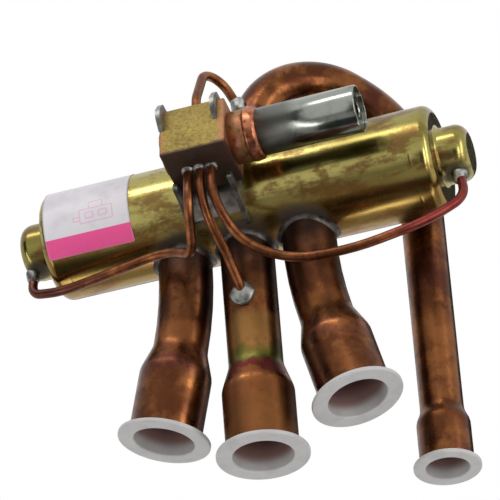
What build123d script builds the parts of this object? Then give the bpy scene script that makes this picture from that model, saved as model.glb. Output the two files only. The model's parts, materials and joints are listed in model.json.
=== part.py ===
from build123d import *
from math import atan2, cos, degrees, hypot, radians, sin, sqrt, tan
import os

# Four way reversing valve, in millimetres. The origin is the centre of the
# suction pipe's mouth, +Z runs up that pipe to the body, +X runs along the body.

# main body
axis_height = 83.5  # suction mouth to the body's axis
body_radius = 16.0
body_wall = 1.5
body_middle = 1.0  # the body's middle along X
shoulder_half = 59.75  # middle to an end shoulder
cap_length = 6.0  # shoulder to the seam
cap_floor = 2.0
shoulder_rounding = 3.0
lap_length = 2.0  # half-lap joint of cap and tube
nub_radius = 8.5
nub_length = 9.0
nub_wall = 2.2
nub_rounding = 3.8
fit_gap = 0.05  # brazed and slip fits, per side

# pipes
pipe_radius = 7.94
pipe_wall = 1.0
port_pitch = 19.0
pipe_insertion = 11.0  # pipe ends this far below the body's axis
bell_radius = 10.55
bell_wall = 1.0
bell_length = 20.0
bell_taper = 8.0
branch_bend = 120.0
branch_corner = 30.1  # body axis to the bend's corner
branch_reach = 42.8  # corner to the mouth
branch_splay = 13.4  # degrees

braze_size = 1.5

# discharge pipe
discharge_radius = 6.35
discharge_wall = 1.0
discharge_port = 5.0  # its place along X
discharge_braze_size = 2.4
discharge_insertion = 13.4  # pipe end above the body's axis
arch_rise = 59.4  # body axis to the corner above the port
arch_drop = 32.5  # from there down to the leg's corner
arch_bends = (19.2, 37.0)
discharge_leg = (47.3, 24.3)
discharge_mouth = -3.0
discharge_bell_radius = 7.85
discharge_bell_wall = 0.8
discharge_bell_length = 13.7
discharge_bell_taper = 3.2

# caps of the open pipes
cap_flange_width = 3.0
cap_flange = 1.4
plug_depth = 12.0
plug_wall = 0.65
plug_rib = 0.25

# valve seat and slide
seat_level = 6.0  # seat face below the body's axis
seat_half = 28.5
port_bore = 6.5
slide_width = 18.0
slide_wall = 1.9
slide_foot = 4.8
slide_top = 5.4  # above the axis
window_gap = 0.1
link_width = 21.0
link_thickness = 1.6
link_tab = 8.0
piston_inner = 39.2  # from the assembly's middle
piston_plate = 2.0
piston_gap = 0.35
seal_thickness = 1.0
seal_lip = 3.4
seal_gap = 0.04
retainer_radius = 11.5
retainer_thickness = 1.6
screw_radius = 2.0
screw_head = 1.8
screw_rise = 2.8  # above the body's axis
bleed_drop = 8.5
bleed_radius = 0.6

# pilot valve
pilot_distance = 28.2  # body axis to pilot axis
pilot_rise = 9.5  # degrees above the horizontal
pilot_tilt = 11.0  # degrees the block leans
block_side = 17.4
block_left = -13.0
block_length = 19.8
block_chamfer = 0.5
chamber_radius = 5.6
chamber_floor = 2.8  # thickness of the left plug
boss_radius = 7.8
boss_length = 4.8
boss_bore = 4.2  # depth of the armature tube in the boss
ring_width = 2.9
ring_radius = 8.3
armature_radius = 7.0
armature_wall = 0.6
spigot_step = 0.25  # the tube's brazed end is turned down by this much
spigot_run = 0.3  # and shows this far past the ring
armature_end = 45.0
core_length = 11.0
core_recess = 0.7
coil_screw_radius = 2.1
coil_screw_depth = 7.5
plunger_gap = 0.1
pilot_pitch = 3.5
pilot_travel = 3.5
pilot_port = 0.7
pilot_first = -7.2  # first capillary along X
pilot_seat_level = 1.4
carrier_width = 6.0
carrier_thickness = 1.5
spring_radius = 2.6
spring_wire = 0.6  # side of the square wire
spring_turns = 5
spring_pocket = 10.0

# bracket
ear_thickness = 1.4
ear_places = (0.03, 0.86)  # shares of the block's length
ear_wall = 2.5
ear_nose = 3.4
saddle_thickness = 1.3
saddle_span = (-50.0, 14.0)  # degrees about the body, from the pilot's side

# capillaries
capillary_radius = 1.4
capillary_seat = 2.6  # depth in the pilot block
capillary_stub = 12.0  # straight run out of the block
solder_left_radius = 2.3
solder_right_radius = 2.5
solder_suction_radius = 3.6
solder_discharge_radius = 2.4

# label
label_place = (-56.8, -30.2)
label_span = (-44.5, 75.0)  # degrees from the front
label_thickness = 0.1
label_gap = 0.03

body_axis = Location((0, 0, axis_height))
body_bore = body_radius - body_wall
seam = shoulder_half - cap_length
slide_rest = -port_pitch / 2
pilot_centre = (0, -pilot_distance * cos(radians(pilot_rise)),
                axis_height + pilot_distance * sin(radians(pilot_rise)))
pilot_frame = Location(pilot_centre, (-pilot_tilt, 0, 0))
block_half = block_side / 2
block_right = block_left + block_length
boss_right = block_right + boss_length


def turned_on_x(points):
    """Solid turned about the X axis from (x, radius) points."""
    return revolve(make_face(Plane.XZ * Polyline(*points, close=True)), Axis.X)


def turned_on_z(points):
    """Solid turned about the Z axis from (radius, z) points."""
    return revolve(make_face(Plane.XZ * Polyline(*points, close=True)), Axis.Z)


def rod_x(radius, left, right):
    return Location((left, 0, 0), (0, 90, 0)) * Cylinder(
        radius, right - left, align=(Align.CENTER, Align.CENTER, Align.MIN))


def rod_z(radius, low, high):
    return Location((0, 0, low)) * Cylinder(
        radius, high - low, align=(Align.CENTER, Align.CENTER, Align.MIN))


def block(low, high):
    size = [b - a for a, b in zip(low, high)]
    return Location(low) * Box(*size, align=(Align.MIN, Align.MIN, Align.MIN))


def tube_along(route, outer, inner=0.0):
    """Round tube, or rod with no inner radius, swept along a route."""
    start = Plane(origin=route @ 0, z_dir=route % 0)
    section = Circle(outer) - Circle(inner) if inner else Circle(outer)
    return sweep(start * section, path=route)


def body_solid(radius, half=seam):
    return Location((body_middle, 0, axis_height)) * rod_x(radius, -half, half)


def on_pilot(point):
    """World place of a point given in the pilot block's own frame."""
    return (pilot_frame * Location(point)).position


# pipes

def bell_points(radius, wall, bell, bell_wall_, length, taper):
    outer = [(bell, 0), (bell, length), (radius, length + taper)]
    inner = [(radius - wall, length + taper), (bell - bell_wall_, length), (bell - bell_wall_, 0)]
    return outer + inner


def straight_pipe():
    top = axis_height - pipe_insertion
    outer = [(bell_radius, 0), (bell_radius, bell_length), (pipe_radius, bell_length + bell_taper),
             (pipe_radius, top)]
    inner = [(pipe_radius - pipe_wall, top), (pipe_radius - pipe_wall, bell_length + bell_taper),
             (bell_radius - bell_wall, bell_length), (bell_radius - bell_wall, 0)]
    return turned_on_z(outer + inner)


def branch_mouth(side):
    """Place of a branch pipe's mouth, with its own Z up the pipe."""
    splay = radians(branch_splay)
    x = side * (port_pitch + branch_reach * sin(splay))
    z = axis_height - branch_corner - branch_reach * cos(splay)
    return Location((x, 0, z), (0, -side * branch_splay, 0))


def branch_route(side):
    neck = (branch_mouth(side) * Location((0, 0, bell_length + bell_taper))).position
    return FilletPolyline(
        (side * port_pitch, 0, axis_height - pipe_insertion),
        (side * port_pitch, 0, axis_height - branch_corner),
        (neck.X, 0, neck.Z), radius=branch_bend)


def branch_pipe(side):
    mouth = branch_mouth(side)
    route = branch_route(side)
    bell = turned_on_z(bell_points(pipe_radius, pipe_wall, bell_radius, bell_wall,
                                   bell_length, bell_taper))
    return tube_along(route, pipe_radius, pipe_radius - pipe_wall) + mouth * bell


def discharge_place():
    return Location((discharge_leg[0], discharge_leg[1], discharge_mouth))


def discharge_route():
    neck = discharge_mouth + discharge_bell_length + discharge_bell_taper
    return FilletPolyline(
        (discharge_port, 0, axis_height + discharge_insertion),
        (discharge_port, 0, axis_height + arch_rise),
        (*discharge_leg, axis_height + arch_rise - arch_drop),
        (*discharge_leg, neck), radius=list(arch_bends))


def discharge_pipe():
    bell = turned_on_z(bell_points(discharge_radius, discharge_wall, discharge_bell_radius,
                                   discharge_bell_wall, discharge_bell_length,
                                   discharge_bell_taper))
    tube = tube_along(discharge_route(), discharge_radius, discharge_radius - discharge_wall)
    return tube + discharge_place() * bell


def pipe_cap(bore, flange):
    """Moulded cap: a flanged cup that plugs a pipe's mouth, mouth at z = 0."""
    land = bore - fit_gap
    inner = land - plug_wall
    return turned_on_z([
        (0, plug_depth), (land - 1.4, plug_depth), (land - plug_rib, plug_depth - 1.6),
        (land - plug_rib, 5.2), (land, 4.4), (land, 3.0), (land - plug_rib, 2.2),
        (land - plug_rib, 0), (flange, 0), (flange, -cap_flange), (inner, -cap_flange),
        (inner - 0.2, plug_depth - 1.0), (0, plug_depth - 1.0)])


def joint_fillet(at_x, radius, below, size):
    """Ring of braze metal in the corner between a pipe and the body."""
    body = body_solid(body_radius, 15 + abs(at_x) + size)
    if below:
        pipe = Location((at_x, 0, 0)) * rod_z(radius, axis_height - body_radius - 8, axis_height)
    else:
        pipe = Location((at_x, 0, 0)) * rod_z(radius, axis_height, axis_height + body_radius + 8)
    both = body + pipe
    corner = [e for e in both.edges() if e.geom_type not in (GeomType.LINE, GeomType.CIRCLE)]
    return fillet(corner, size) - body - pipe


# body and its inner pieces

def end_cap(side):
    """Cup with a nub; its profile is drawn for the +X end."""
    lap = seam - lap_length
    mid = (body_radius + body_bore) / 2
    face = shoulder_half
    tip = face + nub_length
    outline = [(lap, body_bore), (lap, mid - fit_gap), (seam, mid - fit_gap), (seam, body_radius),
               (face, body_radius), (face, nub_radius), (tip, nub_radius), (tip, 0),
               (tip - nub_wall, 0), (tip - nub_wall, nub_radius - nub_wall),
               (face - cap_floor, nub_radius - nub_wall), (face - cap_floor, body_bore)]
    roundings = [0, 0, 0, 0, shoulder_rounding, 1.4, nub_rounding, 0, 0, 0, 0, 0]
    wire = FilletPolyline(*outline, radius=roundings, close=True)
    cap = revolve(make_face(Plane.XZ * wire), Axis.X)
    if side < 0:
        cap = mirror(cap, Plane.YZ)
    return Location((body_middle, 0, axis_height)) * cap


def body_tube():
    mid = (body_radius + body_bore) / 2
    lap = seam - lap_length
    tube = turned_on_x([(-seam, mid), (-seam, body_radius), (seam, body_radius), (seam, mid),
                        (lap, mid), (lap, body_bore), (-lap, body_bore), (-lap, mid)])
    tube = Location((body_middle, 0, axis_height)) * tube
    for x in (-port_pitch, 0, port_pitch):
        tube -= Location((x, 0, 0)) * rod_z(pipe_radius + fit_gap, axis_height - 2 * body_radius, axis_height)
    tube -= Location((discharge_port, 0, 0)) * rod_z(
        discharge_radius + fit_gap, axis_height, axis_height + 2 * body_radius)
    return tube


def valve_seat():
    radius = body_bore - fit_gap / 2
    seat = body_solid(radius, seat_half) - Location((0, 0, axis_height - seat_level)) * Box(
        4 * seat_half, 4 * radius, 2 * radius, align=(Align.CENTER, Align.CENTER, Align.MIN))
    seat = Location((-body_middle, 0, 0)) * seat
    for x in (-port_pitch, 0, port_pitch):
        seat -= Location((x, 0, 0)) * rod_z(port_bore, 0, axis_height)
        seat -= Location((x, 0, 0)) * rod_z(pipe_radius + fit_gap, 0, axis_height - pipe_insertion)
    return seat


def slide_block():
    """Moulded slide: a dome over two ports, on a foot wider than its neck."""
    low = -seat_level
    half = port_pitch / 2 + port_bore + slide_wall
    hollow = port_pitch / 2 + port_bore + 0.3
    foot = SlotOverall(2 * half, slide_width)
    neck = SlotOverall(2 * half - 3.0, slide_width - 3.0)
    slide = Location((0, 0, low)) * extrude(foot, slide_foot)
    slide += Location((0, 0, low)) * extrude(neck, slide_top - low)
    slide = fillet(slide.faces().sort_by(Axis.Z)[-1].edges(), 2.2)
    cavity = Location((0, 0, low)) * extrude(
        SlotOverall(2 * hollow, slide_width - 2 * slide_wall), 8.6)
    cavity = fillet(cavity.faces().sort_by(Axis.Z)[-1].edges(), 3.0)
    return Location((slide_rest, 0, axis_height)) * (slide - cavity)


def piston_link():
    """Stamped carrier: a strip with a window for the slide, its ends turned up."""
    half = port_pitch / 2 + port_bore + slide_wall - 1.5 + window_gap
    low = slide_foot - seat_level + 0.1
    strip = Location((0, 0, low)) * extrude(Rectangle(2 * piston_inner, link_width), link_thickness)
    strip -= Location((0, 0, low)) * extrude(
        SlotOverall(2 * half, slide_width - 3.0 + 2 * window_gap), link_thickness)
    for side in (-1, 1):
        x = side * (piston_inner - link_thickness / 2)
        tab = Location((x, 0, low)) * Box(link_thickness, link_width - 7, link_tab,
                                          align=(Align.CENTER, Align.CENTER, Align.MIN))
        strip += tab
        strip -= Location((0, 0, screw_rise)) * rod_x(
            screw_radius + fit_gap, x - link_thickness, x + link_thickness)
    return Location((slide_rest, 0, axis_height)) * strip


def for_end(solid, side):
    placed = solid if side > 0 else mirror(solid, Plane.YZ)
    return Location((slide_rest, 0, axis_height)) * placed


def screw_hole(radius):
    return Location((0, 0, screw_rise)) * rod_x(radius, 0, 3 * piston_inner)


def piston(side):
    plate = turned_on_x([(piston_inner, 0), (piston_inner, body_bore - piston_gap),
                         (piston_inner + piston_plate, body_bore - piston_gap),
                         (piston_inner + piston_plate, 0)])
    plate -= screw_hole(screw_radius + fit_gap)
    plate -= Location((0, 0, -bleed_drop)) * rod_x(bleed_radius, 0, 3 * piston_inner)
    return for_end(plate, side)


def piston_seal(side):
    """Cup seal with a lip that runs on the bore."""
    base = piston_inner + piston_plate
    lip = body_bore - seal_gap
    seal = turned_on_x([(base, 0), (base, lip - 0.2), (base + 0.4, lip), (base + seal_lip, lip),
                        (base + seal_lip, lip - 0.5), (base + seal_thickness, lip - seal_thickness),
                        (base + seal_thickness, 0)])
    seal -= screw_hole(screw_radius + fit_gap)
    seal -= Location((0, 0, -bleed_drop)) * rod_x(bleed_radius, 0, 3 * piston_inner)
    return for_end(seal, side)


def seal_retainer(side):
    base = piston_inner + piston_plate + seal_thickness
    plate = turned_on_x([(base, 0), (base, retainer_radius), (base + retainer_thickness - 0.6,
                         retainer_radius), (base + retainer_thickness, retainer_radius - 0.6),
                         (base + retainer_thickness, 0)])
    plate -= screw_hole(screw_radius + fit_gap)
    plate -= Location((0, 0, -bleed_drop)) * rod_x(bleed_radius, 0, 3 * piston_inner)
    return for_end(plate, side)


def piston_screw(side):
    head = piston_inner + piston_plate + seal_thickness + retainer_thickness
    tail = piston_inner - link_thickness - 1.4
    screw = turned_on_x([(tail, 0), (tail, screw_radius), (head, screw_radius),
                         (head, screw_radius + 1.7), (head + screw_head - 0.5, screw_radius + 1.7),
                         (head + screw_head, screw_radius + 1.1), (head + screw_head, 0)])
    slot = block((head + screw_head - 0.8, -0.5, -6), (head + screw_head + 1, 0.5, 6))
    return for_end(Location((0, 0, screw_rise)) * (screw - slot), side)


# pilot valve

def pilot_ports():
    return [pilot_first + i * pilot_pitch for i in range(3)]


def pilot_body():
    solid = block((block_left, -block_half, -block_half), (block_right, block_half, block_half))
    solid = chamfer(solid.edges().filter_by(Axis.X), block_chamfer)
    solid += rod_x(boss_radius, block_right, boss_right)
    solid -= rod_x(chamber_radius, block_left, boss_right)
    solid -= rod_x(armature_radius - spigot_step + fit_gap, boss_right - boss_bore, boss_right)
    return pilot_frame * solid


def pilot_end_plug():
    return pilot_frame * turned_on_x([
        (block_left - 0.9, 0), (block_left - 0.9, chamber_radius + 0.9), (block_left, chamber_radius + 0.9),
        (block_left, chamber_radius - fit_gap), (block_left + chamber_floor, chamber_radius - fit_gap),
        (block_left + chamber_floor, 0)])


def pilot_seat():
    left, right = block_left + chamber_floor + 0.2, pilot_ports()[-1] + pilot_pitch
    seat = rod_x(chamber_radius - fit_gap / 2, left, right)
    seat -= block((left - 1, -9, -pilot_seat_level), (right + 1, 9, 9))
    for x in pilot_ports():
        seat -= Location((x, 0, 0)) * rod_z(pilot_port, -9, 0)
    return pilot_frame * seat


def braze_ring():
    """Copper ring that joins the armature tube to the boss."""
    outer = armature_radius - spigot_step + fit_gap
    return pilot_frame * turned_on_x([
        (boss_right, outer), (boss_right, ring_radius - 0.3), (boss_right + 0.5, ring_radius),
        (boss_right + 1.6, ring_radius - 0.2), (boss_right + ring_width, outer + 0.25),
        (boss_right + ring_width, outer)])


def armature_tube():
    start = boss_right - boss_bore + fit_gap
    inner, spigot = armature_radius - armature_wall, armature_radius - spigot_step
    spigot_end = boss_right + ring_width + spigot_run
    return pilot_frame * turned_on_x([
        (start, inner), (start, spigot), (spigot_end, spigot), (spigot_end, armature_radius),
        (armature_end - 0.6, armature_radius),
        (armature_end, armature_radius - 0.5), (armature_end, inner)])


def fixed_core():
    radius = armature_radius - armature_wall - fit_gap / 2
    left, right = armature_end - core_length, armature_end - core_recess
    core = turned_on_x([(left, 0), (left, radius - 0.4), (left + 0.4, radius), (right, radius),
                        (right, 0)])
    core -= rod_x(coil_screw_radius, right - coil_screw_depth, right)
    return pilot_frame * core


def plunger_left():
    return boss_right - boss_bore + 0.3


def plunger_right():
    return armature_end - core_length - pilot_travel - 0.5


def plunger():
    left, right = plunger_left(), plunger_right()
    radius = armature_radius - armature_wall - plunger_gap
    body = turned_on_x([(left, 0), (left, radius - 0.5), (left + 0.5, radius), (right - 0.3, radius),
                        (right, radius - 0.3), (right, 0)])
    body -= rod_x(spring_radius + 1.0, right - spring_pocket, right)
    body -= block((left, -carrier_width / 2 - fit_gap, 0.3),
                  (left + 2.1, carrier_width / 2 + fit_gap, 0.5 + carrier_thickness))
    return pilot_frame * body


def pilot_spring():
    left, right = plunger_right() - spring_pocket, armature_end - core_length
    height = right - left - spring_wire - 2 * fit_gap
    path = Helix(height / spring_turns, height, spring_radius)
    start = Plane(origin=path @ 0, z_dir=path % 0)
    coil = sweep(start * Rectangle(spring_wire, spring_wire), path=path, is_frenet=True)
    return pilot_frame * Location((left + spring_wire / 2 + fit_gap, 0, 0), (0, 90, 0)) * coil


def slide_extent():
    centre = pilot_first + pilot_pitch / 2
    return centre, pilot_pitch / 2 + pilot_port + 1.5


def pilot_carrier():
    """Strip that hangs in the plunger's slot and carries the pilot slide."""
    centre, half = slide_extent()
    left = block_left + chamber_floor + 0.3
    strip = block((left, -carrier_width / 2, 0.4), (plunger_left() + 2.0, carrier_width / 2,
                                                   0.4 + carrier_thickness))
    strip -= block((centre - half + 1.0 - 0.06, -1.56, 0), (centre + half - 1.0 + 0.06, 1.56, 3))
    return pilot_frame * strip


def pilot_slide():
    centre, half = slide_extent()
    slide = block((centre - half, -2.4, -pilot_seat_level), (centre + half, 2.4, 0.3))
    slide += block((centre - half + 1.0, -1.5, 0.3), (centre + half - 1.0, 1.5, 2.4))
    hollow = pilot_pitch / 2 + pilot_port + 0.2
    slide -= block((centre - hollow, -1.0, -pilot_seat_level), (centre + hollow, 1.0, 0))
    return pilot_frame * slide


# bracket

def bracket():
    """Two forked ears on a saddle that hugs the body."""
    gap = 0.04
    side = block_half + gap
    reach = pilot_distance * cos(radians(pilot_rise - pilot_tilt))
    drop = pilot_distance * sin(radians(pilot_rise - pilot_tilt))
    outline = [(reach - 8, side + ear_wall), (-side - 0.6, side + ear_wall), (-side - ear_nose, side - 2.2),
               (-side - ear_nose, 4.0), (-side, 0.8), (-side, side), (side, side),
               (side, -side), (3.6, -side), (3.0, -side - ear_wall), (8.2, -side - ear_wall - 0.4),
               (reach - 9.5, -side - 5.6), (reach, -side - 4.0), (reach, side - 4)]
    roundings = [2.0, 2.0, 2.5, 2.5, 0, 0, 0, 0, 0, 0.8, 2.0, 1.0, 0, 0]
    ear = make_face(Plane.YZ * FilletPolyline(*outline, radius=roundings, close=True))
    solid = None
    places = [block_left + share * block_length for share in ear_places]
    for x in places:
        plate = Location((x - ear_thickness / 2, 0, 0)) * extrude(ear, ear_thickness, dir=(1, 0, 0))
        solid = plate if solid is None else solid + plate
    width = places[1] - places[0] + ear_thickness
    sector = make_face(Plane.YZ * saddle_outline(reach, drop))
    solid += Location((places[0] - ear_thickness / 2, 0, 0)) * extrude(sector, width, dir=(1, 0, 0))
    return pilot_frame * solid - Location((0, 0, axis_height)) * rod_x(body_radius + 0.02, -60, 60)


def saddle_outline(reach, drop):
    """Curved strip on the body, about the body's axis in the block's frame."""
    outer, inner = body_radius + saddle_thickness, body_radius - 0.5
    low, high = saddle_span
    def at(radius, angle):
        a = radians(angle)
        return (reach - radius * cos(a), -drop + radius * sin(a))
    mid = (low + high) / 2
    return (ThreePointArc(at(outer, low), at(outer, mid), at(outer, high))
            + Line(at(outer, high), at(inner, high))
            + ThreePointArc(at(inner, high), at(inner, mid), at(inner, low))
            + Line(at(inner, low), at(outer, low)))


# capillaries

def capillary_start(index, lift):
    """Two points on a capillary's straight stub in the pilot block."""
    x = pilot_ports()[index]
    seat = block_half - capillary_seat
    return tuple(on_pilot((x, 0, -seat))), tuple(on_pilot((x, 0, -block_half - lift)))


def below_body(x, front, drop):
    """Point in front of the body's axis and below the body's underside."""
    return x, -body_radius - front, axis_height - body_radius - drop


def left_end_route():
    first, second = capillary_start(0, capillary_stub)
    shoulder = body_middle - shoulder_half
    return FilletPolyline(
        first, second, below_body(pilot_first - 3.3, 4.0, 10.0),
        below_body(-port_pitch - 1.5, -3.5, 1.7), below_body(shoulder + 21.25, -6.0, 3.0),
        below_body(shoulder + 2.75, -10.0, 3.0), below_body(shoulder - 7.0, -13.5, -0.5),
        (shoulder - 6.6, -1.2, axis_height - nub_radius + 1.2),
        radius=[8.0, 4.5, 20.0, 60.0, 30.0, 4.5])


def suction_route():
    first, second = capillary_start(1, capillary_stub + 1.0)
    return FilletPolyline(
        first, second, below_body(-1.2, 2.0, 10.0), below_body(0.0, -5.0, 17.0),
        (0.0, -pipe_radius + 0.8, axis_height - body_radius - 20.3), radius=[14.0, 10.0, 3.6])


def right_end_route():
    first, second = capillary_start(2, capillary_stub)
    shoulder = body_middle + shoulder_half
    return FilletPolyline(
        first, second, below_body(pilot_first + 12.6, 7.0, 11.9),
        below_body(port_pitch - 1.5, 1.5, 17.3), below_body(shoulder - 25.75, -0.5, 17.7),
        below_body(shoulder - 2.75, -4.5, 11.2), below_body(shoulder + 6.9, -11.0, 2.0),
        (shoulder + 5.2, -1.2, axis_height - nub_radius + 1.2),
        radius=[17.0, 20.0, 28.0, 60.0, 30.0, 10.0])


def discharge_capillary_route():
    seat = block_half - capillary_seat
    x = pilot_first + 0.6 * pilot_pitch
    corner = axis_height + arch_rise
    return FilletPolyline(
        tuple(on_pilot((x, 1.0, seat))), tuple(on_pilot((x, 1.0, block_half + capillary_stub))),
        (discharge_port - 9.6, -14.5, corner - 20.4), (discharge_port - 5.8, -8.0, corner - 21.7),
        (discharge_port - 2.4, -discharge_radius + 0.9, corner - 29.7), radius=[10.0, 6.0, 6.5])


def capillary(route):
    return tube_along(route, capillary_radius)


def capillary_hole(route):
    return tube_along(route, capillary_radius + fit_gap)


def solder_bead(route, size, stretch):
    """Bead of solder where a capillary enters, drawn out along it."""
    end = route @ 1
    direction = route % 1
    bead = Plane(origin=end - direction * 1.4, z_dir=direction) * (
        scale(Sphere(size), (1, 1, stretch)))
    return bead - capillary_hole(route)


# label

def rating_label():
    inner = body_radius + label_gap
    outer = inner + label_thickness
    left, right = label_place
    low, high = label_span
    def at(radius, angle):
        a = radians(angle)
        return (-radius * cos(a), axis_height + radius * sin(a))
    mid = (low + high) / 2
    outline = (ThreePointArc(at(outer, low), at(outer, mid), at(outer, high))
               + Line(at(outer, high), at(inner, high))
               + ThreePointArc(at(inner, high), at(inner, mid), at(inner, low))
               + Line(at(inner, low), at(outer, low)))
    sheet = extrude(make_face(Plane.YZ * outline), right - left, dir=(1, 0, 0))
    return Location((left, 0, 0)) * sheet


def build():
    left_route, suction_line = left_end_route(), suction_route()
    right_route, discharge_line = right_end_route(), discharge_capillary_route()
    parts = {}
    parts["body_tube"] = body_tube()
    parts["end_cap_left"] = end_cap(-1) - capillary_hole(left_route)
    parts["end_cap_right"] = end_cap(1) - capillary_hole(right_route)
    parts["valve_seat"] = valve_seat()
    parts["suction_pipe"] = straight_pipe() - capillary_hole(suction_line)
    parts["evaporator_pipe"] = branch_pipe(-1)
    parts["condenser_pipe"] = branch_pipe(1)
    parts["discharge_pipe"] = discharge_pipe() - capillary_hole(discharge_line)
    parts["braze_suction"] = joint_fillet(0, pipe_radius, True, braze_size)
    parts["braze_evaporator"] = joint_fillet(-port_pitch, pipe_radius + fit_gap, True, braze_size)
    parts["braze_condenser"] = joint_fillet(port_pitch, pipe_radius + fit_gap, True, braze_size)
    parts["braze_discharge"] = joint_fillet(discharge_port, discharge_radius, False, discharge_braze_size)

    parts["slide_block"] = slide_block()
    parts["piston_link"] = piston_link()
    for side, name in ((-1, "left"), (1, "right")):
        parts["piston_" + name] = piston(side)
        parts["piston_seal_" + name] = piston_seal(side)
        parts["seal_retainer_" + name] = seal_retainer(side)
        parts["piston_screw_" + name] = piston_screw(side)

    block_body = pilot_body()
    for route in (left_route, suction_line, right_route, discharge_line):
        block_body -= capillary_hole(route)
    for x in pilot_ports():
        block_body -= pilot_frame * Location((x, 0, 0)) * rod_z(pilot_port, -block_half, 0)
    x = pilot_first + 0.6 * pilot_pitch
    block_body -= pilot_frame * Location((x, 1.0, 0)) * rod_z(pilot_port, 0, block_half)
    parts["pilot_body"] = block_body
    parts["pilot_end_plug"] = pilot_end_plug()
    parts["pilot_seat"] = pilot_seat()
    parts["braze_ring"] = braze_ring()
    parts["armature_tube"] = armature_tube()
    parts["fixed_core"] = fixed_core()
    parts["plunger"] = plunger()
    parts["pilot_spring"] = pilot_spring()
    parts["pilot_carrier"] = pilot_carrier()
    parts["pilot_slide"] = pilot_slide()
    parts["bracket"] = bracket()

    parts["capillary_left"] = capillary(left_route)
    parts["capillary_suction"] = capillary(suction_line)
    parts["capillary_right"] = capillary(right_route)
    parts["capillary_discharge"] = capillary(discharge_line)
    parts["solder_left"] = solder_bead(left_route, solder_left_radius, 1.2) - end_cap_filled(-1)
    parts["solder_right"] = solder_bead(right_route, solder_right_radius, 1.3) - end_cap_filled(1)
    parts["solder_suction"] = solder_bead(suction_line, solder_suction_radius, 1.0) - rod_z(
        pipe_radius, 0, axis_height)
    parts["solder_discharge"] = solder_bead(discharge_line, solder_discharge_radius, 1.1) - tube_along(
        discharge_route(), discharge_radius)

    parts["rating_label"] = rating_label()
    bell_bore = bell_radius - bell_wall
    cap = pipe_cap(bell_bore, bell_radius + cap_flange_width)
    parts["plug_suction"] = cap
    parts["plug_evaporator"] = branch_mouth(-1) * cap
    parts["plug_condenser"] = branch_mouth(1) * cap
    parts["plug_discharge"] = discharge_place() * pipe_cap(
        discharge_bell_radius - discharge_bell_wall, discharge_bell_radius + 2.0)
    return parts


def end_cap_filled(side):
    """Outer form of a cap's nub, to trim solder against."""
    return Location((body_middle, 0, axis_height)) * rod_x(
        nub_radius, min(0, side * (shoulder_half + nub_length)),
        max(0, side * (shoulder_half + nub_length)))


os.makedirs("parts", exist_ok=True)
for name, solid in build().items():
    export_step(solid, "parts/" + name + ".step")
    print(name, round(solid.volume, 2), len(solid.solids()))
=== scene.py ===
import json
import math
import bmesh
import bpy
import numpy as np
from mathutils import Matrix, Vector


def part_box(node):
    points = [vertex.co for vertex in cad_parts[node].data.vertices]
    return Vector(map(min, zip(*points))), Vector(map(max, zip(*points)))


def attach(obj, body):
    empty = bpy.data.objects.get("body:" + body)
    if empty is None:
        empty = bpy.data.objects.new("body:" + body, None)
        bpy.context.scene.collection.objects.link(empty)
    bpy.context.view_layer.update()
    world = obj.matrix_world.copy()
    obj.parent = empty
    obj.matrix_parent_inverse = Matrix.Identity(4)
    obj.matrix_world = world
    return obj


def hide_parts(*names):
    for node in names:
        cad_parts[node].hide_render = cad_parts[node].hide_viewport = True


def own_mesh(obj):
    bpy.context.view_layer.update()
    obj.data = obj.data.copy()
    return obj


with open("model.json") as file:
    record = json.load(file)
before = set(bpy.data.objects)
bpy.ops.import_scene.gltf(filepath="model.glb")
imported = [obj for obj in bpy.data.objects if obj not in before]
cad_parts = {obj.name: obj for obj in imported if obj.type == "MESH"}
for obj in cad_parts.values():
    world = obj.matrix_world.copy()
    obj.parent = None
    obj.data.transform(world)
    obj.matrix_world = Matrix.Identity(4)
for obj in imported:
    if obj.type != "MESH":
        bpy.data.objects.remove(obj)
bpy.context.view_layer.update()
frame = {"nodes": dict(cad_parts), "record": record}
mm = 0.001
turns = 96  # facets round a large turned piece


def unit(vectors):
    # each vector divided by its own length
    return vectors / np.linalg.norm(vectors, axis=-1, keepdims=True)


def rounded(points, radii, steps=7):
    # straight runs joined by tangent arcs: centre = corner + bisector * r / sin(half angle)
    points = np.asarray(points, float)
    pieces = [points[:1]]
    for corner, before, after, radius in zip(points[1:-1], points[:-2], points[2:], radii):
        back, on = unit(before - corner), unit(after - corner)
        half = math.acos(np.clip(back @ on, -1, 1)) / 2
        if radius <= 0 or half > 1.56:
            pieces.append(corner[None])
            continue
        centre = corner + unit(back + on) * radius / math.sin(half)
        first = corner + back * radius / math.tan(half) - centre
        last = corner + on * radius / math.tan(half) - centre
        sweep = math.pi - 2 * half
        share = np.linspace(0, 1, max(3, int(steps * sweep) + 2))[:, None]
        pieces.append(centre + (np.sin((1 - share) * sweep) * first
                                + np.sin(share * sweep) * last) / math.sin(sweep))
    pieces.append(points[-1:])
    return np.vstack(pieces)


def evenly(path, step):
    # the same line with points a fixed step apart, measured along it
    lengths = np.r_[0, np.cumsum(np.linalg.norm(np.diff(path, axis=0), axis=1))]
    lengths, keep = np.unique(lengths, return_index=True)
    path = path[keep]
    places = np.linspace(0, lengths[-1], max(2, int(lengths[-1] / step)))
    return np.stack([np.interp(places, lengths, path[:, i]) for i in range(path.shape[1])], 1)


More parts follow.
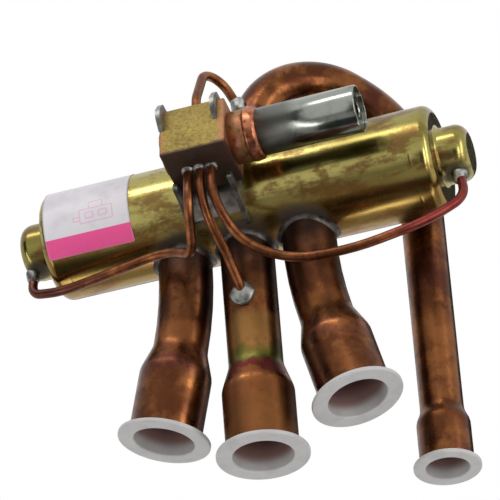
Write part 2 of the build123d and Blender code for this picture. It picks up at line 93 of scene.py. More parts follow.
def gridPiece(name, points, closedAcross=True, closedAlong=False, uv=None):
    # points[i, j]: i runs along the piece, j round it; quads join neighbours
    rows, columns = points.shape[:2]
    index = np.arange(rows * columns).reshape(rows, columns)
    nextAcross = np.roll(index, -1, 1) if closedAcross else index[:, 1:]
    base = index if closedAcross else index[:, :-1]
    if closedAlong:
        quads = np.stack([base, nextAcross, np.roll(nextAcross, -1, 0), np.roll(base, -1, 0)], -1)
    else:
        quads = np.stack([base[:-1], nextAcross[:-1], nextAcross[1:], base[1:]], -1)
    mesh = bpy.data.meshes.new(name)
    mesh.from_pydata(points.reshape(-1, 3), [], quads.reshape(-1, 4))
    if uv is not None:
        layer = mesh.uv_layers.new(name="UVMap")
        corners = np.empty(len(mesh.loops), int)
        mesh.loops.foreach_get("vertex_index", corners)
        layer.data.foreach_set("uv", uv.reshape(-1, 2)[corners].ravel())
    mesh.polygons.foreach_set("use_smooth", np.ones(len(mesh.polygons), bool))
    mesh.update()
    piece = bpy.data.objects.new(name, mesh)
    bpy.context.scene.collection.objects.link(piece)
    return piece


def tidyMesh(piece, merge=1e-7):
    # doubles merged at poles and seams, normals turned outwards
    work = bmesh.new()
    work.from_mesh(piece.data)
    bmesh.ops.remove_doubles(work, verts=work.verts, dist=merge)
    bmesh.ops.recalc_face_normals(work, faces=work.faces)
    work.to_mesh(piece.data)
    work.free()
    piece.data.polygons.foreach_set("use_smooth", np.ones(len(piece.data.polygons), bool))
    return piece


def turnedPiece(name, profile, origin, axis, around=turns, closedAlong=False):
    # profile rows are (along, radius): point = origin + axis * along + radius * (cos, sin) round it
    axis = unit(np.asarray(axis, float))
    side = unit(np.cross(axis, (0.0, 1.0, 0.02)))
    other = np.cross(axis, side)
    angle = np.linspace(0, 2 * math.pi, around, endpoint=False)[None, :, None]
    along, radius = profile[:, 0, None, None], profile[:, 1, None, None]
    spoke = np.cos(angle) * side + np.sin(angle) * other
    points = np.asarray(origin) + along * axis + radius * spoke
    travelled = np.r_[0, np.cumsum(np.linalg.norm(np.diff(profile, axis=0), axis=1))]
    uv = np.stack(np.broadcast_arrays(travelled[:, None] / travelled[-1],
                                      angle[..., 0] / 2 / math.pi), -1)
    return tidyMesh(gridPiece(name, points, True, closedAlong, uv))


def tubeOnFrames(name, centres, tangent, radii, around, reference, closedAlong):
    # point = centre + radius * (cos * side + sin * other), side square to the tangent
    side = unit(np.cross(tangent, reference))
    other = np.cross(tangent, side)
    angle = np.linspace(0, 2 * math.pi, around, endpoint=False)[None, :, None]
    points = centres[:, None] + radii[:, None, None] * (
        np.cos(angle) * side[:, None] + np.sin(angle) * other[:, None])
    steps = np.linalg.norm(np.diff(centres, axis=0), axis=1)
    travelled = np.r_[0, np.cumsum(steps)]
    uv = np.stack(np.broadcast_arrays(travelled[:, None] / max(travelled[-1], 1e-9),
                                      angle[..., 0] / 2 / math.pi), -1)
    return tidyMesh(gridPiece(name, points, True, closedAlong, uv))


class Field:
    # wraps an output socket, so sums and products of fields add Math nodes
    def __init__(self, paint, socket):
        self.paint, self.socket = paint, socket

    def maths(self, operation, first, second):
        return self.paint.node("Math", {"operation": operation}, {0: first, 1: second})

    def __add__(self, other): return self.maths("ADD", self, other)
    def __radd__(self, other): return self.maths("ADD", other, self)
    def __sub__(self, other): return self.maths("SUBTRACT", self, other)
    def __rsub__(self, other): return self.maths("SUBTRACT", other, self)
    def __mul__(self, other): return self.maths("MULTIPLY", self, other)
    def __rmul__(self, other): return self.maths("MULTIPLY", other, self)


class Paint:
    def __init__(self, name, **constants):
        self.material = bpy.data.materials.new(name)
        self.material.use_nodes = True
        self.tree = self.material.node_tree
        self.surface = next(n for n in self.tree.nodes if n.type == "BSDF_PRINCIPLED")
        for key, value in constants.items():
            self.surface.inputs[key.replace("_", " ")].default_value = value

    def node(self, kind, settings=None, inputs=None, output=0):
        made = self.tree.nodes.new("ShaderNode" + kind)
        for key, value in (settings or {}).items():
            setattr(made, key, value)
        for key, value in (inputs or {}).items():
            if isinstance(value, Field):
                self.tree.links.new(value.socket, made.inputs[key])
            else:
                made.inputs[key].default_value = value
        return Field(self, made.outputs[output])

    def place(self):
        return self.node("TexCoord", output="Object")

    def uv(self):
        return self.node("TexCoord", output="UV")

    def axes(self, vector):
        split = self.tree.nodes.new("ShaderNodeSeparateXYZ")
        self.tree.links.new(vector.socket, split.inputs[0])
        return [Field(self, split.outputs[i]) for i in range(3)]

    def noise(self, size, stretch=(1, 1, 1), detail=4.0, roughness=0.55, vector=None, shift=0.0):
        # size is the width of a patch in millimetres
        moved = self.node("Mapping", {}, {"Vector": vector or self.place(), "Scale": stretch,
                                          "Location": (shift, shift * 0.7, shift * 1.3)})
        return self.node("TexNoise", {}, {"Vector": moved, "Scale": 1.0 / (size * mm),
                                          "Detail": detail, "Roughness": roughness}, "Fac")

    def step(self, value, low, high):
        return self.node("MapRange", {"interpolation_type": "SMOOTHSTEP"},
                         {"Value": value, "From Min": low, "From Max": high})

    def near(self, point, reach):
        # 1 at the point, 0 beyond reach
        gap = self.node("VectorMath", {"operation": "DISTANCE"},
                        {0: self.place(), 1: tuple(point)}, "Value")
        return 1 - self.step(gap, reach * 0.25, reach)

    def blend(self, first, second, factor, mode="MIX"):
        if not isinstance(first, Field):
            first = (*first, 1)
        if not isinstance(second, Field):
            second = (*second, 1)
        return self.node("Mix", {"data_type": "RGBA", "blend_type": mode},
                         {0: factor, 6: first, 7: second}, 2)

    def feed(self, **fields):
        for key, value in fields.items():
            self.tree.links.new(value.socket, self.surface.inputs[key.replace("_", " ")])
        return self

    def bump(self, height, distance=0.0002, strength=0.5):
        self.feed(Normal=self.node("Bump", {}, {"Height": height, "Distance": distance,
                                                "Strength": strength}))
        return self


def larger(first, second):
    return first.maths("MAXIMUM", first, second)


def srgb(red, green, blue):
    # 0-255 display colour to linear light
    values = np.array([red, green, blue]) / 255
    return tuple(np.where(values <= 0.04045, values / 12.92, ((values + 0.055) / 1.055) ** 2.4))


tubeLow, tubeHigh = (np.array(c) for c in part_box("body_tube"))
capLow, capHigh = np.array(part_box("end_cap_left")[0]), np.array(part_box("end_cap_right")[1])
bodyRadius = (tubeHigh[1] - tubeLow[1]) / 2
axisHeight = (tubeHigh[2] + tubeLow[2]) / 2
bodyMiddle = (capLow[0] + capHigh[0]) / 2
mounts = {m["name"]: m for m in frame["record"]["mounts"]}
coilSeat = np.array(mounts["coil_seat"]["pos_m"])
pilotCentre = np.array([0, coilSeat[1], coilSeat[2]])
pilotTilt = math.radians(11.0)
pilotUp = np.array([0, math.sin(pilotTilt), math.cos(pilotTilt)])
pilotBack = np.array([0, math.cos(pilotTilt), -math.sin(pilotTilt)])


def onPilot(x, y, z):
    # place given in the tilted block's own axes, millimetres
    return pilotCentre + mm * (x * np.array([1.0, 0, 0]) + y * pilotBack + z * pilotUp)


body = {"shoulder": 59.75, "nubRadius": 8.5, "nubLength": 9.0, "wall": 1.5, "floor": 2.0,
        "nubWall": 2.2, "shoulderRound": 3.0, "nubRound": 3.8, "seam": 53.75, "groove": 0.03}


def bodyProfile(b):
    # half outline drawn from the middle outwards to the axis at the tip, then mirrored for the other end
    r, s = bodyRadius / mm, b["seam"]
    tip = b["shoulder"] + b["nubLength"]
    outer = [(0, r), (s - 0.5, r), (s, r - b["groove"]), (s + 0.5, r), (b["shoulder"], r),
             (b["shoulder"], b["nubRadius"]), (tip, b["nubRadius"]), (tip, 0)]
    half = rounded(outer, [0.6, 0.25, 0.6, b["shoulderRound"], 1.4, b["nubRound"]], 9)
    whole = np.vstack([half[::-1] * (-1, 1), half[1:]])
    dense = [np.linspace(a, c, max(2, int(np.linalg.norm(c - a) / 2.0) + 1))[:-1]
             for a, c in zip(whole[:-1], whole[1:])]
    return np.vstack(dense + [whole[-1:]]) * mm


bodyShell = turnedPiece("bodyShell", bodyProfile(body), (bodyMiddle, 0, axisHeight), (1, 0, 0), 128)
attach(bodyShell, "valve")
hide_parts("body_tube", "end_cap_left", "end_cap_right")

# the amber-brown colour in this table is painted shade for the underside of the body
bodyPaint = {"gold": srgb(166, 156, 92), "olive": srgb(122, 112, 58), "brown": srgb(112, 78, 40),
             "soot": srgb(70, 70, 72), "tarnish": srgb(108, 78, 44),
             "paintedUnderShade": srgb(138, 96, 44), "roughness": 0.2}


def paintBody(c):
    p = Paint("brassBody", Metallic=1.0)
    place = p.place()
    x, y, z = p.axes(place)
    streaks = p.noise(3.2, (0.04, 1, 1), 5, 0.6)
    broad = p.noise(16, (0.35, 1, 1), 3, 0.5, shift=2.0)
    mottle = p.noise(2.4, detail=6, roughness=0.7, shift=5.0)
    colour = p.blend(c["gold"], c["olive"], p.step(broad, 0.42, 0.66))
    colour = p.blend(colour, c["brown"], p.step(streaks, 0.56, 0.74) * 0.55)
    joints = [(0, -0.006, axisHeight - 0.017), (-0.019, -0.006, axisHeight - 0.017),
              (0.019, -0.006, axisHeight - 0.017), (-0.008, -0.014, axisHeight - 0.006),
              (0.0655, -0.002, axisHeight - 0.009), (-0.064, -0.002, axisHeight - 0.009),
              (0.054, -0.004, axisHeight + 0.016)]
    heat = p.near(joints[0], 0.015)
    for point, reach in zip(joints[1:], (0.014, 0.014, 0.012, 0.007, 0.007, 0.008)):
        heat = larger(heat, p.near(point, reach))
    smoke = p.noise(5.5, detail=3, roughness=0.5, shift=6.0)
    stain = p.step(heat * 0.75 + smoke * 0.6, 0.5, 1.0)
    tarnish = p.noise(7, (0.6, 1, 1), 8, 0.7, shift=12.0)
    colour = p.blend(colour, c["tarnish"], p.step(tarnish, 0.46, 0.6) * 0.85)
    speck = p.step(p.noise(1.1, detail=3, roughness=0.6, shift=9.0), 0.64, 0.72) * \
        p.step(p.noise(22, detail=2, shift=4.0), 0.5, 0.62)
    # painted shade: below the axis the body is blended towards a darker amber, standing in for the darker
    # reflections and shade on its underside
    upper = p.step(z, axisHeight - 0.0145, axisHeight - 0.006)
    colour = p.blend(colour, c["paintedUnderShade"], 0.65 - upper * 0.65)
    colour = p.blend(colour, c["brown"], speck * 0.6)
    colour = p.blend(colour, c["soot"], stain * 0.8)
    rough = c["roughness"] + p.step(tarnish, 0.45, 0.7) * 0.12 + stain * 0.35
    rough = rough + p.step(streaks, 0.45, 0.8) * 0.1 + speck * 0.2
    p.feed(Base_Color=colour, Roughness=rough)
    return p.bump(streaks * 0.5 + mottle * 0.25, 0.00012, 0.35).material


bodyShell.data.materials.append(paintBody(bodyPaint))
print("body done")


pipes = {"radius": 7.94, "wall": 1.0, "bell": 10.55, "bellLength": 20.0, "taper": 8.0,
         "pitch": 19.0, "corner": 30.1, "bend": 120.0, "splay": 13.4, "reach": 42.8,
         "insertion": 11.0}
discharge = {"radius": 6.35, "wall": 1.0, "bell": 7.85, "bellLength": 13.7, "taper": 3.2,
             "port": 5.0, "insertion": 13.4, "rise": 59.4, "drop": 32.5, "bends": (19.2, 37.0),
             "leg": (47.3, 24.3), "mouth": -3.0}


def pipeShell(name, route, radii, radius, wall, bell, bellWall, bellLength, taper):
    # outer wall from the body to the mouth and the bore back again, on one path
    path = evenly(rounded(np.array(route), radii, 16), 1.0)
    along = np.r_[0, np.cumsum(np.linalg.norm(np.diff(path, axis=0), axis=1))]
    total = along[-1]
    def radiusAt(s, plain, wide):
        edge = rounded([(0, plain), (total - bellLength - taper, plain), (total - bellLength, wide),
                        (total, wide)], [7.0, 5.0], 8)
        return np.interp(s, edge[:, 0], edge[:, 1])
    tangent = unit(np.gradient(path, axis=0))
    inwards = slice(None, None, -1)
    radiusOut = radiusAt(along, radius, bell)
    radiusOut[-1] -= 0.18
    radiusIn = radiusAt(along[inwards], radius - wall, bell - bellWall)
    centres = np.vstack([path, path[inwards]]) * mm
    frames = np.vstack([tangent, tangent[inwards]])
    return tubeOnFrames(name, centres, frames, np.r_[radiusOut, radiusIn] * mm, 64,
                        (0.02, 1.0, 0.01), True)


def branchPoints(side, p):
    splay = math.radians(p["splay"])
    top = axisHeight / mm
    x = side * p["pitch"]
    bend = top - p["corner"]
    return [(x, 0, top - p["insertion"]), (x, 0, bend),
            (x + side * p["reach"] * math.sin(splay), 0, bend - p["reach"] * math.cos(splay))]


bellSizes = (pipes["radius"], pipes["wall"], pipes["bell"], 1.0, pipes["bellLength"], pipes["taper"])
topOfBody = axisHeight / mm
suctionPipe = pipeShell("suctionPipe", [(0, 0, topOfBody - pipes["insertion"]), (0, 0, 40), (0, 0.0, 0)],
                        [0], *bellSizes)
evaporatorPipe = pipeShell("evaporatorPipe", branchPoints(-1, pipes), [pipes["bend"]], *bellSizes)
condenserPipe = pipeShell("condenserPipe", branchPoints(1, pipes), [pipes["bend"]], *bellSizes)
dischargePipe = pipeShell(
    "dischargePipe", [(discharge["port"], 0, topOfBody + discharge["insertion"]),
                      (discharge["port"], 0, topOfBody + discharge["rise"]),
                      (*discharge["leg"], topOfBody + discharge["rise"] - discharge["drop"]),
                      (*discharge["leg"], discharge["mouth"])],
    discharge["bends"], discharge["radius"], discharge["wall"], discharge["bell"], 0.8,
    discharge["bellLength"], discharge["taper"])

copper = {"dark": srgb(46, 26, 19), "brown": srgb(84, 48, 29), "bronze": srgb(128, 80, 46),
          "purple": srgb(66, 33, 36), "green": srgb(88, 90, 40), "tan": srgb(132, 96, 54),
          "soot": srgb(46, 40, 40)}


def paintPipe(name, c, bands, jointHeight, coatTop=-40.0, sooty=0.75):
    # bands are heat tints: (height mm, half width mm, colour, strength)
    p = Paint(name, Metallic=1.0)
    x, y, z = p.axes(p.place())
    clouds = p.noise(9, detail=4, roughness=0.6)
    drawn = p.noise(1.6, (1, 1, 0.05), 4, 0.6, shift=3.0)
    mottle = p.noise(2.8, detail=6, roughness=0.7, shift=7.0)
    colour = p.blend(c["brown"], c["bronze"], p.step(clouds, 0.42, 0.64))
    colour = p.blend(colour, c["dark"], p.step(mottle, 0.5, 0.72) * 0.6)
    colour = p.blend(colour, c["purple"], p.step(p.noise(13, detail=3, shift=11.0), 0.52, 0.7) * 0.45)
    wobble = (clouds - 0.5) * 0.016
    dull = 0.0
    for height, width, tint, strength in bands:
        away = p.node("Math", {"operation": "ABSOLUTE"}, {0: z + wobble - height * mm})
        inBand = 1 - p.step(away, width * 0.35 * mm, width * mm)
        colour = p.blend(colour, tint, inBand * strength)
        dull = dull + inBand * (0.12 * strength)
    ragged = (clouds - 0.5) * 0.03
    coat = (1 - p.step(z + ragged, (coatTop - 1.2) * mm, coatTop * mm)) * p.step(mottle, 0.3, 0.42)
    colour = p.blend(colour, srgb(112, 68, 38), coat * 0.75)
    dull = dull + coat * 0.12
    soot = p.step(z + wobble, (jointHeight - 13) * mm, jointHeight * mm) * sooty
    colour = p.blend(colour, c["soot"], soot)
    rough = 0.24 + p.step(mottle, 0.4, 0.75) * 0.16 + soot * 0.22 + dull
    p.feed(Base_Color=colour, Roughness=rough)
    return p.bump(drawn * 0.4 + mottle * 0.4, 0.00015, 0.35).material


suctionBands = [(56, 7, copper["dark"], 0.6), (38, 8, copper["tan"], 0.85), (29, 5, copper["green"], 0.8),
                (24.5, 2.6, srgb(96, 34, 38), 0.75), (8, 8, copper["green"], 0.3)]
branchBands = [(52, 8, copper["dark"], 0.5), (40, 6, copper["bronze"], 0.5), (30, 4, copper["purple"], 0.4),
               (20, 6, copper["brown"], 0.5)]
dischargeBands = [(85, 14, copper["dark"], 0.55), (60, 12, copper["purple"], 0.35),
                  (38, 9, copper["bronze"], 0.5), (10, 5, copper["brown"], 0.6)]
for piece, node, paint in (
        (suctionPipe, "suction_pipe", paintPipe("copperSuction", copper, suctionBands, 67, 22.5)),
        (evaporatorPipe, "evaporator_pipe", paintPipe("copperBranch", copper, branchBands, 68)),
        (condenserPipe, "condenser_pipe", None),
        (dischargePipe, "discharge_pipe", paintPipe("copperDischarge", copper, dischargeBands, 240))):
    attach(piece, "valve")
    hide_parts(node)
    piece.data.materials.append(paint or bpy.data.materials["copperBranch"])
print("pipes done")


capillaries = {"radius": 1.4, "first": -7.2, "pitch": 3.5, "seat": 2.6, "side": 17.4}
leftShoulder = bodyMiddle / mm - body["shoulder"]
rightShoulder = bodyMiddle / mm + body["shoulder"]


def stub(index, lift, top=False):
    half = capillaries["side"] / 2
    if top:
        x = capillaries["first"] + 0.6 * capillaries["pitch"]
        return [onPilot(x, 1, half - capillaries["seat"]) / mm, onPilot(x, 1, half + lift) / mm]
    x = capillaries["first"] + index * capillaries["pitch"]
    return [onPilot(x, 0, capillaries["seat"] - half) / mm, onPilot(x, 0, -half - lift) / mm]


nubUnder = topOfBody - body["nubRadius"] + 1.2
archCorner = topOfBody + discharge["rise"]


def belowBody(x, front, drop):
    # place in front of the body's axis and below its underside
    radius = bodyRadius / mm
    return x, -radius - front, topOfBody - radius - drop


first, pitch, port = capillaries["first"], pipes["pitch"], discharge["port"]
capillaryRoutes = {
    "capillary_left": (stub(0, 12) + [belowBody(first - 3.3, 4, 10), belowBody(-pitch - 1.5, -3.5, 1.7),
                                      belowBody(leftShoulder + 21.25, -6, 3),
                                      belowBody(leftShoulder + 2.75, -10, 3),
                                      belowBody(leftShoulder - 7, -13.5, -0.5),
                                      (leftShoulder - 6.6, -1.2, nubUnder)],
                       [8, 4.5, 20, 60, 30, 4.5]),
    "capillary_suction": (stub(1, 13) + [belowBody(-1.2, 2, 10), belowBody(0, -5, 17),
                                         (0, 0.8 - pipes["radius"], topOfBody - bodyRadius / mm - 20.3)],
                          [14, 10, 3.6]),
    "capillary_right": (stub(2, 12) + [belowBody(first + 12.6, 7, 11.9), belowBody(pitch - 1.5, 1.5, 17.3),
                                       belowBody(rightShoulder - 25.75, -0.5, 17.7),
                                       belowBody(rightShoulder - 2.75, -4.5, 11.2),
                                       belowBody(rightShoulder + 6.9, -11, 2),
                                       (rightShoulder + 5.2, -1.2, nubUnder)],
                        [17, 20, 28, 60, 30, 10]),
    "capillary_discharge": (stub(0, 12, True) + [(port - 9.6, -14.5, archCorner - 20.4),
                                                 (port - 5.8, -8, archCorner - 21.7),
                                                 (port - 2.4, 0.9 - discharge["radius"], archCorner - 29.7)],
                            [10, 6, 6.5]),
}


def paintCapillary(c):
    p = Paint("copperCapillary", Metallic=1.0)
    clouds = p.noise(7, detail=4)
    mottle = p.noise(1.4, detail=5, roughness=0.7, shift=3.0)
    x, y, z = p.axes(p.place())
    colour = p.blend(srgb(104, 62, 38), srgb(146, 90, 56), p.step(clouds, 0.4, 0.65))
    colour = p.blend(colour, c["dark"], p.step(mottle, 0.48, 0.72) * 0.6)
    redEnd = p.step(x, 0.035, 0.062)
    colour = p.blend(colour, srgb(112, 36, 44), redEnd * 0.75)
    leftEnd = p.step(0 - x, 0.03, 0.058)
    colour = p.blend(colour, srgb(78, 44, 44), leftEnd * 0.7)
    p.feed(Base_Color=colour, Roughness=0.28 + mottle * 0.2)
    return p.bump(mottle, 0.0001, 0.4).material


capillaryPaint = paintCapillary(copper)
for node, (route, radii) in capillaryRoutes.items():
    path = evenly(rounded(route, radii, 14), 0.55) * mm
    size = np.full(len(path), capillaries["radius"] * mm)
    path, size = np.vstack([path[:1], path, path[-1:]]), np.r_[1e-6, size, 1e-6]
    words = node.split("_")
    tangent = unit(np.gradient(path[1:-1], axis=0))
    tangent = np.vstack([tangent[:1], tangent, tangent[-1:]])
    reference = (0.25, 0.15, 1.0) if node == "capillary_right" else (1.0, 0.35, -0.25)
    if node == "capillary_left":
        reference = (0.1, 1.0, 0.75)
    piece = tubeOnFrames("capillary" + words[1].title(), path, tangent, size, 22, reference, False)
    piece.data.materials.append(capillaryPaint)
    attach(piece, "valve")
    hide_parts(node)
print("capillaries done")


beads = {  # centre mm, half sizes mm
    "solder_suction": ((0, -8.3, 48.4), (3.7, 2.0, 3.9)),
    "solder_right": ((rightShoulder + 5.2, -1.8, topOfBody - 8.6), (2.3, 2.3, 3.0)),
    "solder_left": ((leftShoulder - 6.6, -1.9, topOfBody - 8.8), (2.1, 2.1, 2.7)),
    "solder_discharge": ((2.5, -5.9, 114.0), (2.3, 2.2, 2.8)),
}
exitBeads = {"radius": 2.0, "height": 1.3}


def beadPiece(name, centre, sizes, seed, axisUp=None):
    # ellipsoid with a low wave on its radius
    polar = np.linspace(0, math.pi, 26)[:, None]
    turn = np.linspace(0, 2 * math.pi, 40, endpoint=False)[None]
    wave = (1 + 0.07 * np.sin(3 * turn + seed) * np.sin(2 * polar)
            + 0.05 * np.sin(5 * polar + seed) * np.sin(polar))
    points = np.stack([np.sin(polar) * np.cos(turn) * wave, np.sin(polar) * np.sin(turn) * wave,
                       np.cos(polar) * np.ones_like(turn)], -1) * np.array(sizes) * mm
    if axisUp is not None:
        points = (points[..., :1] * np.array([1.0, 0, 0]) + points[..., 1:2] * pilotBack
                  + points[..., 2:] * pilotUp)
    piece = tidyMesh(gridPiece(name, points + np.array(centre) * mm), 1e-6)
    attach(piece, "valve")
    return piece


def paintSolder():
    p = Paint("solder", Metallic=1.0)
    grain = p.noise(0.9, detail=5, roughness=0.7)
    broad = p.noise(2.6, detail=3, shift=4.0)
    colour = p.blend(srgb(158, 158, 154), srgb(88, 86, 84), p.step(broad, 0.4, 0.7))
    colour = p.blend(colour, srgb(120, 84, 66), p.step(grain, 0.6, 0.75) * 0.5)
    p.feed(Base_Color=colour, Roughness=0.25 + grain * 0.35)
    return p.bump(grain, 0.0002, 0.6).material


solderPaint = paintSolder()
for seed, (node, (centre, sizes)) in enumerate(beads.items()):
    piece = beadPiece("bead" + node.split("_")[1].title(), centre, sizes, seed)
    piece.data.materials.append(solderPaint)
    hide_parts(node)
for i in range(3):
    x = capillaries["first"] + i * capillaries["pitch"]
    centre = onPilot(x, 0, -capillaries["side"] / 2) / mm
    piece = beadPiece(f"exitBead{i + 1}", centre, (exitBeads["radius"], exitBeads["radius"],
                                                   exitBeads["height"]), i + 7, True)
    piece.data.materials.append(solderPaint)
print("solder done")


pilot = {"side": 17.4, "left": -13.0, "right": 6.8, "bossRadius": 7.8, "bossRight": 11.6,
         "ring": 2.9, "ringRadius": 8.3, "radius": 7.0, "wall": 0.6, "end": 45.0, "recess": 0.7,
         "core": 11.0}


def roundedBlock(name, p):
    # cube pushed out to the block's size, its edges turned by the bevel
    work = bmesh.new()
    bmesh.ops.create_cube(work, size=1.0)
    bmesh.ops.bevel(work, geom=work.edges[:], offset=0.028, segments=3, profile=0.5, affect="EDGES")
    mesh = bpy.data.meshes.new(name)
    work.to_mesh(mesh)
    work.free()
    place = np.empty(len(mesh.vertices) * 3)
    mesh.vertices.foreach_get("co", place)
    place = place.reshape(-1, 3) * (p["right"] - p["left"], p["side"], p["side"])
    place[:, 0] += (p["right"] + p["left"]) / 2
    world = pilotCentre + mm * (place[:, :1] * np.array([1.0, 0, 0]) + place[:, 1:2] * pilotBack
                                + place[:, 2:] * pilotUp)
    mesh.vertices.foreach_set("co", world.ravel())
    mesh.update()
    piece = bpy.data.objects.new(name, mesh)
    bpy.context.scene.collection.objects.link(piece)
    return tidyMesh(piece)


def flatShade(piece):
    piece.data.set_sharp_from_angle(angle=math.radians(28))
    return piece


pilotBlock = flatShade(roundedBlock("pilotBlock", pilot))
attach(pilotBlock, "valve")
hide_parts("pilot_body")


def pilotTurned(name, outline, radii, around=72):
    profile = rounded(outline, radii, 8) * mm
    piece = turnedPiece(name, profile, pilotCentre, (1, 0, 0), around)
    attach(piece, "valve")
    return piece


boss = pilotTurned("pilotBoss", [(pilot["right"] - 0.5, 0), (pilot["right"] - 0.5, pilot["bossRadius"]),
                                 (pilot["bossRight"], pilot["bossRadius"]), (pilot["bossRight"], pilot["radius"])],
                   [0, 0.5])
ring = pilotTurned("brazeRing", [(pilot["bossRight"] - 0.1, pilot["radius"]),
                                 (pilot["bossRight"] - 0.1, pilot["ringRadius"]),
                                 (pilot["bossRight"] + pilot["ring"], pilot["ringRadius"] - 0.5),
                                 (pilot["bossRight"] + pilot["ring"] + 0.6, pilot["radius"])], [0.9, 1.1])
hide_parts("braze_ring")
end = pilot["end"]
armature = pilotTurned("armatureTube", [(pilot["bossRight"] - 3, pilot["radius"] - pilot["wall"]),
                                        (pilot["bossRight"] - 3, pilot["radius"]), (end, pilot["radius"]),
                                        (end, pilot["radius"] - pilot["wall"]),
                                        (pilot["bossRight"] - 3, pilot["radius"] - pilot["wall"])],
                       [0, 0.5, 0.15])
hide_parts("armature_tube")
holeRadius, coreFace = 2.1, end - pilot["recess"]
core = pilotTurned("fixedCore", [(end - pilot["core"], 0), (end - pilot["core"], 6.37), (coreFace, 6.37),
                                 (coreFace, holeRadius + 0.35), (coreFace - 0.35, holeRadius),
                                 (coreFace - 7.5, holeRadius), (coreFace - 8.6, 0)],
                   [0.3, 0.35, 0.1, 0.1, 0])
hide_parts("fixed_core")

blockPaint = {"brass": srgb(138, 120, 62), "dull": srgb(104, 88, 46), "oxide": srgb(66, 48, 46),
              "copper": srgb(160, 104, 80)}


def paintBlock(c):
    p = Paint("brassMilled", Metallic=0.85)
    place = p.place()
    x, y, z = p.axes(place)
    grain = p.noise(0.5, (0.5, 1, 1), 6, 0.7)
    clouds = p.noise(5, detail=4, shift=2.0)
    down = p.node("VectorMath", {"operation": "DOT_PRODUCT"},
                  {0: place, 1: tuple(-pilotUp)}, "Value")
    floor = float(-(pilotCentre @ pilotUp)) + pilot["side"] / 2 * mm
    under = p.step(down + (clouds - 0.5) * 0.002, floor - 0.0016, floor - 0.0002)
    colour = p.blend(c["brass"], c["dull"], p.step(grain, 0.42, 0.66))
    colour = p.blend(colour, srgb(92, 74, 40), p.step(clouds, 0.5, 0.7) * 0.6)
    ends = p.step(x + (clouds - 0.5) * 0.008, (pilot["right"] - 3.0) * mm, pilot["right"] * mm)
    leftEdge = p.step(0 - x + (clouds - 0.5) * 0.006, 0.0105, 0.013)
    colour = p.blend(colour, c["copper"], ends * 0.65)
    colour = p.blend(colour, c["copper"], leftEdge * 0.55)
    colour = p.blend(colour, c["oxide"], under * 0.9)
    p.feed(Base_Color=colour, Roughness=0.42 + grain * 0.16)
    return p.bump(grain, 0.00015, 0.5).material


def paintBoss(c):
    p = Paint("copperBoss", Metallic=0.9)
    clouds = p.noise(3.2, detail=6, roughness=0.7)
    grain = p.noise(0.9, detail=4, shift=3.0)
    colour = p.blend(srgb(140, 106, 58), c["copper"], p.step(clouds, 0.42, 0.58))
    colour = p.blend(colour, srgb(84, 60, 48), p.step(p.noise(2.0, detail=5, shift=8.0), 0.52, 0.66) * 0.8)
    p.feed(Base_Color=colour, Roughness=0.36 + grain * 0.2)
    return p.bump(clouds * 0.7 + grain * 0.3, 0.0002, 0.5).material


def paintRing():
    p = Paint("copperBraze", Metallic=1.0)
    wave = p.noise(1.6, detail=4)
    colour = p.blend(srgb(178, 112, 82), srgb(112, 66, 46), p.step(wave, 0.42, 0.68))
    p.feed(Base_Color=colour, Roughness=0.22 + wave * 0.25)
    return p.bump(wave, 0.0002, 0.5).material


def paintStainless():
    p = Paint("stainless", Metallic=1.0)
    x, y, z = p.axes(p.place())
    turned = p.noise(0.35, (1, 0.02, 0.02), 3, 0.6)
    clouds = p.noise(6, detail=3, shift=5.0)
    dull = 1 - p.step(x + (clouds - 0.5) * 0.004, 0.0235, 0.0285)
    colour = p.blend(srgb(146, 150, 142), srgb(112, 114, 106), p.step(clouds, 0.45, 0.65))
    colour = p.blend(colour, srgb(98, 98, 94), dull * 0.75)
    scratch = p.step(p.noise(0.6, (0.1, 1, 1), 3, 0.6, shift=7.0), 0.66, 0.74)
    colour = p.blend(colour, srgb(110, 108, 104), scratch * 0.4)
    p.feed(Base_Color=colour, Roughness=0.19 + dull * 0.2 + scratch * 0.1)
    return p.bump(turned, 0.00004, 0.3).material


pilotBlock.data.materials.append(paintBlock(blockPaint))
boss.data.materials.append(paintBoss(blockPaint))
ring.data.materials.append(paintRing())
stainlessPaint = paintStainless()
for piece in (armature, core):
    piece.data.materials.append(stainlessPaint)
print("pilot done")


caps = {"flange": 1.4, "depth": 12.0, "wall": 0.65, "gap": 0.05, "rib": 0.25}


def capProfile(bore, flange, c):
    # (along, radius) with along running into the pipe; starts and ends on the axis
    land, depth = bore - c["gap"], c["depth"]
    inner = land - c["wall"]
    outline = [(depth, 0), (depth, land - 1.4), (depth - 1.6, land - c["rib"]), (5.2, land - c["rib"]),
               (4.4, land), (3.0, land), (2.2, land - c["rib"]), (0, land - c["rib"]), (0, flange),
               (-c["flange"], flange), (-c["flange"], inner), (depth - 1.9, inner - 0.2),
               (depth - 1.0, inner - 1.1), (depth - 1.0, 0)]
    radii = [0.5, 0.5, 0.2, 0.2, 0.2, 0.2, 0.2, 0.45, 0.45, 0.5, 0.5, 0.5]
    return rounded(outline, radii, 8) * mm


capTable = {"suction": ("suction_socket", 9.55, 13.55), "evaporator": ("evaporator_socket", 9.55, 13.55),
            "condenser": ("condenser_socket", 9.55, 13.55), "discharge": ("discharge_socket", 7.05, 9.85)}


